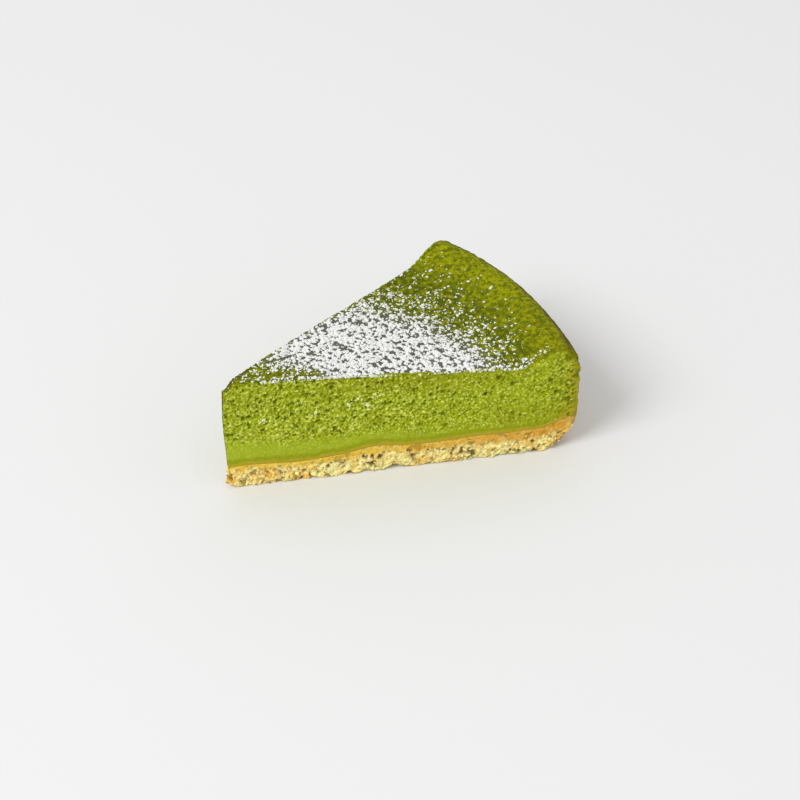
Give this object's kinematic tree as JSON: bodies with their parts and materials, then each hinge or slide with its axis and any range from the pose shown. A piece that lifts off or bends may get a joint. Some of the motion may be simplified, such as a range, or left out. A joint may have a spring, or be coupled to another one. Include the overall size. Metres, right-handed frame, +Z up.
{
  "type": "matcha tart slice",
  "caption": "Wedge slice of a baked green tea tart: a porous green filling with a raised browned rim on a pressed biscuit crumb base, for a plate or cake stand.",
  "frame": {"origin": "on the resting plane, below the middle of the slice's length and width", "axes": "+X along the centreline from the tip to the baked outer side, +Y towards the far cut, +Z up"},
  "size_m": [0.1048, 0.073, 0.0376],
  "materials": {
    "matcha_filling": "baked green tea custard, porous where cut, with a dull olive skin",
    "biscuit_base": "pressed biscuit crumb, matt and craggy",
    "icing_sugar": "icing sugar sifted on in fine dry clumps, white and matt"
  },
  "bodies": {
    "root": {"matcha_filling": "matcha_filling", "biscuit_base": "biscuit_base"}
  },
  "joints": []
}
